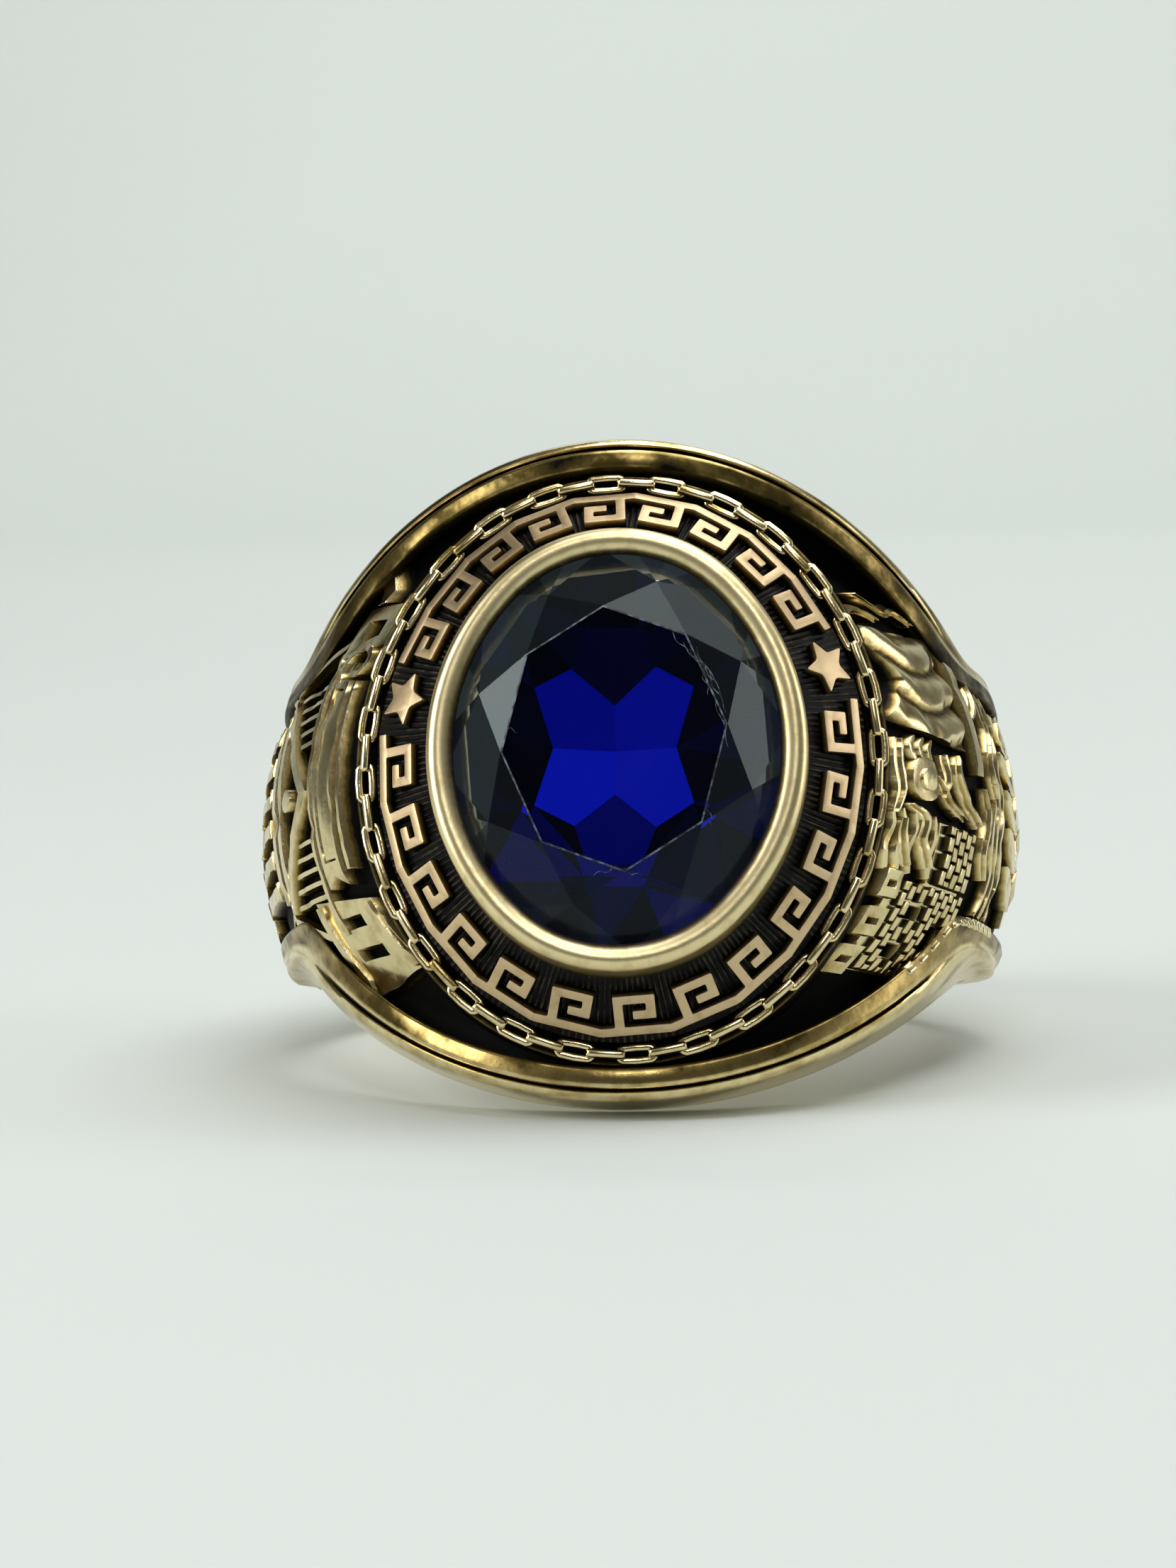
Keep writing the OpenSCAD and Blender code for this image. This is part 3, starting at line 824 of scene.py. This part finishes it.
# Y and Z of one end, Y and Z of the other, width, height of the top
STRAIGHTS = [
    (-4.4, 9.22, 4.1, 9.22, 0.16, 0.5), (-4.6, 6.14, -2.95, 6.14, 0.18, 0.46),
    (2.95, 6.14, 4.6, 6.14, 0.18, 0.46), (3.5, 6.3, 4.5, 9.2, 0.22, 0.5),
    (-3.5, 6.3, -4.3, 8.2, 0.22, 0.5), (4.4, 3.2, 3.3, 6.0, 0.2, 0.46),
    (-4.4, 3.2, -3.3, 6.0, 0.2, 0.46), (5.6, 9.3, 7.2, 9.2, 0.34, 0.5)]
for i in range(5):
    for side in (-1, 1):
        y = side * (1.5 + 0.42 * i)
        STRAIGHTS.append((y, 7.9 - 0.32 * i, y, 9.15, 0.13, 0.4))
panel_relief("fillets_and_struts", -1, [(bar(*ends), top) for *ends, top in STRAIGHTS], cut=0.3)

# %% [markdown]
# The right panel has a crenellated tower and a wall, both laid in bricks. Next to them stand a
# boss and a banner that hangs in folds from a staff, with leaves that wave below and above, and
# lowest a spray of laurel.

# %% Right panel
# The tower's openings: Y and Z of a corner, width, height
OPENINGS = [(-5.2, 8.9, 0.4, 0.9), (-4.1, 8.9, 0.4, 0.9), (-4.7, 7.4, 0.6, 0.8)]


def off_openings(y, z):
    """Whether a brick with its middle here is clear of the tower's openings."""
    return not any(a - 0.1 < y < a + w + 0.1 and b - 0.08 < z < b + h + 0.08 for a, b, w, h in OPENINGS)


tower = (box(-5.7, 7.2, 2.6, 3.4), 0.36, *[box(*opening) for opening in OPENINGS])
merlons = [(box(-5.9 + 1.1 * i, 10.45, 0.8, 0.7), 0.54, box(-5.6 + 1.1 * i, 10.62, 0.2, 0.36))
           for i in range(3)]
panel_relief("tower", 1, [tower] + merlons)
panel_relief("tower_bricks", 1, bricks(-5.68, 7.24, 2.56, 3.1, 0.46, 0.28, 0.07, off_openings),
             soft=0.05, cut=None)
panel_relief("wall", 1, [(box(-3.15, 7.2, 1.95, 1.9), 0.3)])
panel_relief("wall_bricks", 1, bricks(-3.0, 7.26, 1.75, 1.75, 0.5, 0.34, 0.08), soft=0.05, cut=None)
panel_relief("staff", 1, [(bar(0.6, 7.1, 5.5, 7.5, 0.4), 0.55), (disc(5.75, 7.52, 0.32), 0.55)],
             cut=0.3, soft=0.18)


def folds(y, z):
    """How far the banner's cloth rises over its plain height, or sinks below it."""
    return 0.2 * abs(sin(2.7 * y + 0.8 * sin(1.5 * z))) - 0.12


cloth = [(1.2, 7.8), (4.6, 7.9), (4.3, 11.3), (2.8, 10.5), (1.4, 11.5)]
panel_relief("banner", 1, [(cloth, 0.45)], cut=0.12, swell=folds)
panel_relief("boss", 1, [(disc(-0.1, 10.2, 0.65), 0.5), (disc(-0.1, 10.2, 0.34), 0.58)], soft=0.2)

# Leaves: the points that a leaf waves through, and its width
LEAVES = [
    ([(0.9, 11.3), (0.2, 11.35), (-0.6, 11.2), (-1.3, 11.4)], 0.34),
    ([(0.8, 9.3), (0.1, 9.1), (-0.5, 9.3)], 0.36),
    ([(-2.6, 9.5), (-1.9, 10.0), (-1.2, 10.1), (-0.95, 10.8)], 0.4),
    ([(-2.7, 10.4), (-2.1, 10.8), (-1.4, 11.0)], 0.34),
    ([(-0.9, 7.0), (-0.4, 7.9), (0.4, 8.5), (0.95, 8.4)], 0.4),
    ([(-0.9, 8.0), (-0.6, 8.8), (0.1, 9.6)], 0.3),
    ([(0.3, 6.6), (-0.6, 6.3), (-1.6, 6.5), (-2.4, 6.1)], 0.36),
    ([(5.0, 8.2), (5.3, 8.9), (5.1, 9.6), (5.5, 10.3)], 0.36),
    ([(4.7, 10.2), (4.9, 10.8), (4.6, 11.4)], 0.3),
    ([(2.4, 6.9), (3.0, 6.3), (3.9, 6.2)], 0.34),
    ([(0.2, 5.6), (1.2, 5.9), (2.2, 5.6)], 0.34)]
panel_relief("waving_leaves", 1, [(sweep(path, w, 0.12), 0.44) for path, w in LEAVES], cut=0.3, soft=0.13)
panel_relief("leaf_veins", 1, [(sweep(path, 0.26 * w, 0.3), 0.55) for path, w in LEAVES],
             cut=0.3, soft=0.04)

waves = [[(-3.4 + 1.2 * k, z + 0.14 * (-1) ** k) for k in range(7)] for z in (4.5, 5.05, 5.5)]
for z in (9.25, 10.15, 10.65, 11.1):
    waves.append([(-2.9, z), (-2.3, z + 0.22), (-1.7, z + 0.12), (-1.1, z + 0.3)])
for z in (9.7, 10.1, 10.5):
    waves.append([(0.4, z), (0.8, z + 0.2), (1.15, z)])
panel_relief("ripples", 1, [(sweep(path, 0.17, 0.3), 0.4) for path in waves], cut=0.3, soft=0.06)

spray = [(bar(-3.2, 2.2, 3.2, 3.4, 0.25), 0.4)]
for i in range(5):
    for way in (-1, 1):
        spray.append((leaf(-2.7 + 1.15 * i, 2.3 + 0.21 * i, 1.9, 0.75, 11 + 42 * way), 0.48))
panel_relief("laurel_spray", 1, spray, soft=0.14)

# %% [markdown]
# ## The stone
# A synthetic spinel, cut as an oval brilliant: a wide table, eight star facets, eight kites and
# many girdle facets over a pavilion. A real one is black where it lets light through and royal
# blue where its back facets send light up again. Tracing that takes very many samples, so the crown
# here is clear glass, and inside it lie back facets painted with how much light each returns. The
# facets that look down the finger have their reflection dimmed, a painted shade for the darker side
# that they face, and the table's edge is worn to a pale line. The outer facets, and most those that
# face up, carry a faint slate glow, which is painted light. It is a dim even tone added to the glass,
# because scattered light would leave the facets grainy.

# %% Crown of the stone
# The crown's slate emission is a painted glow, not a lamp.
clear, shader = new_material("polished_synthetic_spinel", IOR=1.43, Roughness=0.02,
                             Base_Color=linear("#A4AEDC"), Transmission_Weight=1.0,
                             Emission_Color=linear("#2D3534"))
# The specular tint comes from each facet's number, and on the down-facing facets it dims the reflection as
# painted shade.
reflection_painted_shade_tint = ramp(clear, carried(clear, "mirror"), [(0.0, "#000000"), (1.0, "#E8FAF6")])
set_inputs(shader, {"Emission Strength": carried(clear, "painted_slate_glow"), "Specular Tint": reflection_painted_shade_tint})
abraded, shader = new_material("abraded_spinel_edge", Roughness=0.7)
chips = ramp(abraded, wear_noise(abraded, 0.22, detail=5), [(0.44, "#06090E"), (0.64, "#66747C")])
set_inputs(shader, {"Base Color": chips})
GIRDLE_Z, CROWN_H = 14.2, 1.8
TABLE, MID = 0.64, 0.81
MID_Z = CROWN_H * (1 - MID * cos(pi / 8)) / (1 - TABLE)
# Rings of corners: how many, share of the girdle's oval, height, turn in steps
RINGS = [(8, TABLE, CROWN_H, 0), (8, MID, MID_Z, 0.5), (32, 0.99, 0.06, 0), (32, 0.985, -0.3, 0),
         (16, 0.62, -2.5, 0.5)]
# Shares of the painted slate glow, given to the sloping facets in turn
PAINTED_GLOW_SHARES = (0.9, 0.3, 0.7, 0.45, 0.8, 0.2, 0.55)
STONE_TURN = radians(5.5)


def stone_point(share, angle, z):
    """A point over the girdle's oval, which stays put while the cut is turned."""
    way = angle + STONE_TURN
    x, y = HALF_W * cos(way), HALF_L * sin(way)
    return Matrix.Rotation(-STONE_TURN, 4, "Z") @ Vector((share * x, share * y, z))


bm = start_piece()
for count, share, z, turn in RINGS:
    for i in range(count):
        bm.verts.new(stone_point(share, 2 * pi * (i + turn) / count, z))
bmesh.ops.convex_hull(bm, input=bm.verts[:])
bmesh.ops.dissolve_limit(bm, angle_limit=radians(1), verts=bm.verts[:], edges=bm.edges[:])
print("facets of the crown:", len(bm.faces))
table_edges = [e for e in bm.edges if all(v.co.z > CROWN_H - 0.01 for v in e.verts)]
for face in bevel(bm, table_edges, 0.03, segments=1)["faces"]:
    face.material_index = 1
mirror_of, painted_glow_of = (bm.faces.layers.float.new(name) for name in ("mirror", "painted_slate_glow"))
# Facets that face down the finger keep a third of their reflection: painted shade.
for face in bm.faces:
    face[mirror_of] = 0.32 if face.normal.y < -0.2 else 1.0
# The painted glow is strongest on the outer facets and on those that face up.
sloping = sorted((f for f in bm.faces if 0 < f.normal.z < 0.99 and f.material_index == 0),
                 key=lambda f: atan2(*f.calc_center_median().yx))
for i, face in enumerate(sloping):
    middle = face.calc_center_median()
    outer = fade(hypot(middle.x / HALF_W, middle.y / HALF_L), 0.7, 0.82)
    upward = fade(face.normal.y, -0.5, 0.4)
    face[painted_glow_of] = PAINTED_GLOW_SHARES[i % len(PAINTED_GLOW_SHARES)] * (0.15 + 0.85 * outer) * (0.25 + 0.75 * upward)
print("facets with a haze:", len(sloping))
bm.transform(Matrix.Translation((0, 0, GIRDLE_Z)) @ Matrix.Rotation(STONE_TURN, 4, "Z"))
surface = BVHTree.FromBMesh(bm)
hand_over("stone_crown", bm, clear, abraded, stands_for="stone", crisp=0.5)

# %% [markdown]
# Years of wear left fine scratches, most of them across the edge of the table that faces the
# thumb. Each one is a sliver 0.03 mm wide that tapers to both ends, dropped on to the facets.

# %% Scratches
# X and Y of one end, X and Y of the other
SCRATCHES = [
    (1.9, 2.75, 2.75, 1.75), (2.1, 2.5, 2.95, 1.6), (2.3, 2.6, 2.85, 1.5), (2.45, 2.1, 3.1, 1.2),
    (1.6, 3.05, 2.2, 2.3), (2.7, 1.7, 3.2, 0.7), (2.85, 1.1, 3.25, -0.3), (2.5, 1.85, 2.7, 1.2),
    (-3.15, 0.35, -2.7, 0.2), (0.2, -3.75, 0.75, -3.95), (2.6, -1.9, 2.75, -2.5),
    (-0.6, -3.9, 0.1, -3.7)]
bm = bmesh.new()
for x0, y0, x1, y1 in SCRATCHES:
    a, b = Vector((x0, y0, 0)), Vector((x1, y1, 0))
    out = Vector((a.y - b.y, b.x - a.x, 0)).normalized()
    rows = []
    for k in range(9):
        t = k / 8
        middle = a.lerp(b, t) + out * 0.05 * sin(9 * t + x0)
        row = [middle + out * w * (0.002 + 0.013 * sin(pi * t)) for w in (-1, 1)]
        for p in row:
            p.z = surface.ray_cast(p + Vector((0, 0, 20)), Vector((0, 0, -1)))[0].z + 0.004
        rows.append([bm.verts.new(p) for p in row])
    for (a0, a1), (b0, b1) in zip(rows, rows[1:]):
        bm.faces.new((a0, a1, b1, b0))
bmesh.ops.recalc_face_normals(bm, faces=bm.faces)
for face in [f for f in bm.faces if f.normal.z < 0]:
    face.normal_flip()
hand_over("stone_scratches", bm, abraded, stands_for="stone", solid=False)

# %% [markdown]
# Four bright petals meet under the middle of the table, with a darker one below and one above, and
# black between them. They are flat patches of a shallow bowl that reaches out to the girdle, and
# each face carries its own glow number, the painted light that it gives off in place of light that
# the back facets would return.

# %% Back facets of the stone
# The back facets' emission is painted light, standing in for the light that a real pavilion sends back.
back_facets_painted_glow, shader = new_material("blue_spinel_back_facets_painted_glow", Roughness=0.5, Specular_IOR_Level=0.05,
                                  Base_Color=linear("#02020A"), Emission_Strength=0.72)
glow = ramp(back_facets_painted_glow, carried(back_facets_painted_glow, "glow"), [
    (0.0, "#010106"), (0.15, "#03041C"), (0.4, "#020562"), (0.75, "#0412AC"), (1.0, "#0E24D4")])
set_inputs(shader, {"Emission Color": glow})

# Petals: corners, and how bright the patch glows
PETAL_SCALE, PETALS_X, PETALS_Y = 1.04, -0.11, 0.2
BOWL_Z, BOWL_RISE = -2.4, 2.25
PETALS = [
    ([(0, 0), (0, 1.23), (-1.2, 2.2), (-2.2, 1.65), (-1.7, 0)], 0.56),
    ([(0, 0), (1.7, 0), (2.2, 1.65), (1.15, 2.25), (0, 1.23)], 0.64),
    ([(0, 0), (-1.7, 0), (-2.2, -1.65), (-1.1, -2.2), (0, -1.25)], 0.85),
    ([(0, 0), (0, -1.25), (1.15, -2.25), (2.2, -1.6), (1.7, 0)], 0.8),
    ([(0, -1.25), (-1.1, -2.2), (-0.75, -3.3), (0.75, -3.35), (1.15, -2.25)], 0.4),
    ([(0, 1.23), (1.15, 2.25), (0.7, 3.3), (-0.75, 3.3), (-1.2, 2.2)], 0.16)]
bm = start_piece()
glow_of = bm.faces.layers.float.new("glow")
corner = {}


def pavilion_vertex(x, y):
    key = (round(x, 3), round(y, 3))
    if key not in corner:
        out = hypot(x / HALF_W, y / HALF_L)
        corner[key] = bm.verts.new((x, y, BOWL_Z + BOWL_RISE * out))
    return corner[key]


for outline, value in PETALS:
    face = bm.faces.new([pavilion_vertex(PETAL_SCALE * x + PETALS_X, PETAL_SCALE * y + PETALS_Y)
                         for x, y in outline])
    face[glow_of] = value
inner_rim = [e for e in bm.edges if len(e.link_faces) == 1]
rim_points = [Matrix.Rotation(STONE_TURN, 4, "Z") @ stone_point(0.97, pi * (i + 0.5) / 8, 0)
              for i in range(16)]
outer = [bm.verts.new((p.x, p.y, -0.15)) for p in rim_points]
outer_rim = [bm.edges.new(pair) for pair in closed_pairs(outer)]
bridged = bmesh.ops.triangle_fill(bm, use_beauty=True, use_dissolve=False, edges=inner_rim + outer_rim)
sides = only(bmesh.types.BMFace, bridged)
SIDE_GLOWS = (0.0, 0.18, 0.0, 0.26, 0.0, 0.1)
for i, face in enumerate(sorted(sides, key=lambda f: atan2(*f.calc_center_median().yx))):
    low = face.calc_center_median().y < -1.5
    face[glow_of] = SIDE_GLOWS[i % len(SIDE_GLOWS)] * (1.0 if low else 0.6)
bmesh.ops.recalc_face_normals(bm, faces=bm.faces)
if bm.faces[0].normal.z < 0:
    bmesh.ops.reverse_faces(bm, faces=bm.faces)
under = bmesh.ops.extrude_edge_only(bm, edges=[e for e in bm.edges if len(e.link_faces) == 1])
for v in only(bmesh.types.BMVert, under):
    v.co.z = -0.3
bm.transform(Matrix.Translation((0, 0, GIRDLE_Z)))
hand_over("stone_back_facets", bm, back_facets_painted_glow, stands_for="stone", crisp=0.5, solid=False)

# %% [markdown]
# ## Floor, light and camera
# A jeweller photographs a ring in a tent of white cloth: large soft lights all round, a darker
# side for contrast, and a pale ground. The floor sweeps up behind the ring without a corner.

# %% Floor
paper, _ = new_material("matt_pale_paper", Roughness=0.9, Base_Color=linear("#C8CECA"))
FLOOR_Y, FLOOR_BEND = 0.45, 0.2
outline = [(-0.6, 0), (FLOOR_Y, 0)]
for degrees in range(9, 91, 9):
    a = radians(degrees)
    outline.append((FLOOR_Y + FLOOR_BEND * sin(a), FLOOR_BEND - FLOOR_BEND * cos(a)))
outline.append((FLOOR_Y + FLOOR_BEND, 0.9))
bm = bmesh.new()
line = [bm.verts.new((-0.9, y, z)) for y, z in outline]
edges = [bm.edges.new(pair) for pair in zip(line, line[1:])]
far_side = only(bmesh.types.BMVert, bmesh.ops.extrude_edge_only(bm, edges=edges))
bmesh.ops.translate(bm, vec=(1.8, 0, 0), verts=far_side)
bmesh.ops.recalc_face_normals(bm, faces=bm.faces)
for face in bm.faces:
    face.smooth = True
floor = make_object("floor", bm, paper)

# %% Dark cards
velvet, _ = new_material("black_velvet_card", Roughness=1.0, Base_Color=linear("#020202"))
for name, place in (("dark_card_front", (-20, -340, 180)), ("dark_card_left", (-190, 80, 160))):
    bm = bmesh.new()
    bmesh.ops.create_grid(bm, x_segments=1, y_segments=1, size=100 * MM)
    facing = Vector(place).to_track_quat("Z", "Y").to_matrix().to_4x4()
    bm.transform(Matrix.Translation(Vector(place) * MM) @ facing)
    card = make_object(name, bm, velvet)

# %% [markdown]
# Soft lights stand round the ring: a broad one overhead, a window at the left, weaker ones at the
# right and behind, a small one for glints and one that washes the backdrop. A polished stone shows
# what it faces, so the two dark cards keep its table and one star facet black.

# %% Lights
def soft_light(name, place, size, power, target=(0, 0, 10)):
    """A white rectangle of light: place, size and target in millimetres, power in watts."""
    data = bpy.data.lights.new(name, "AREA")
    data.shape, data.size, data.size_y = "RECTANGLE", size[0] * MM, size[1] * MM
    data.energy = power
    lamp = bpy.data.objects.new(name, data)
    lamp.location = Vector(place) * MM
    lamp.rotation_euler = (Vector(place) - Vector(target)).to_track_quat("Z", "Y").to_euler()
    bpy.context.scene.collection.objects.link(lamp)


soft_light("over", (80, -50, 420), (480, 310), 1.5)
soft_light("left", (-300, -150, 150), (170, 260), 0.9)
soft_light("right", (330, 20, 110), (200, 260), 0.35)
soft_light("behind_right", (235, 120, 335), (110, 110), 0.03)
soft_light("glint", (10, -257, 213), (60, 60), 0.12)
soft_light("backdrop_wash", (0, 330, 480), (500, 200), 2.1, target=(0, 650, 120))
world = bpy.data.worlds.new("tent")
world.use_nodes = True
set_inputs(world.node_tree.nodes["Background"], {"Color": linear("#E6E6DC"), "Strength": 0.15})
bpy.context.scene.world = world
bpy.context.scene.view_settings.view_transform = "Standard"

# %% [markdown]
# The camera looks almost straight at the stone, 12 degrees from below and 3 degrees from the
# right, from 130 mm away. With the ring on its side that is just above the floor. A small shift
# puts the ring where the photograph has it in the frame.

# %% Camera
lens = bpy.data.cameras.new("camera")
lens.sensor_fit, lens.sensor_height, lens.sensor_width = "VERTICAL", 36, 27
lens.lens = 105.2
lens.shift_x, lens.shift_y = -0.0179, -0.0244
lens.clip_start, lens.clip_end = 0.01, 5
camera = bpy.data.objects.new("camera", lens)
below, right = radians(12), radians(3.2)
look = Vector((sin(right) * cos(below), -sin(below), cos(right) * cos(below)))
ring_up = Vector((0, 1, 0))
x_way = ring_up.cross(look).normalized()
y_way = look.cross(x_way)
turned = (TURN @ Matrix((x_way, y_way, look)).transposed()).to_4x4()
camera.matrix_world = Matrix.Translation(LAID @ (Vector((0, 0, 14.9)) + look * 130)) @ turned
bpy.context.scene.collection.objects.link(camera)
bpy.context.scene.camera = camera
print("camera height above the floor:", round(camera.matrix_world.translation.z * 1000, 1), "mm")
